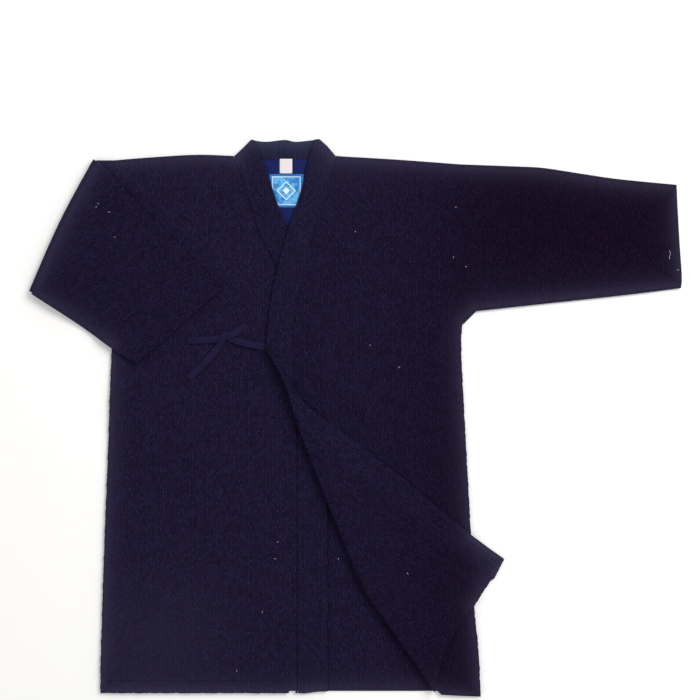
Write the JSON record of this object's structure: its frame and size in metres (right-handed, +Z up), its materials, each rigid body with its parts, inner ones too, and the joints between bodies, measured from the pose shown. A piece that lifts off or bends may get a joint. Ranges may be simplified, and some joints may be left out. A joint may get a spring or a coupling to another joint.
{
  "type": "kendo jacket laid flat",
  "caption": "Heavy cotton wrap jacket laid flat, one sleeve out, one folded in, the front corner turned back, with two crossed ties.",
  "frame": {"origin": "on the floor under the middle of the laid garment's box", "axes": "+X towards the left sleeve's cuff, +Y towards the collar, +Z up from the floor"},
  "size_m": [1.0428, 0.893, 0.0166],
  "materials": {
    "cotton": "matte woven sashiko cotton, dark purple navy",
    "band_cotton": "matte cotton band, dark navy",
    "tie_cotton": "matte cotton tape, dark navy",
    "blue_lining": "plain woven cotton, bright blue",
    "woven_blue": "damask woven label, light blue",
    "white_satin": "white satin tape"
  },
  "bodies": {
    "root": {"back": "cotton", "collar_back": "band_cotton", "yoke_lining": "blue_lining", "woven_label": "woven_blue", "size_tag": "white_satin", "front_right": "cotton", "collar_right": "band_cotton", "front_left": "cotton", "collar_left": "band_cotton", "sleeve_left": "cotton", "sleeve_right": "cotton", "tie_left": "tie_cotton", "tie_right": "tie_cotton"}
  },
  "joints": []
}
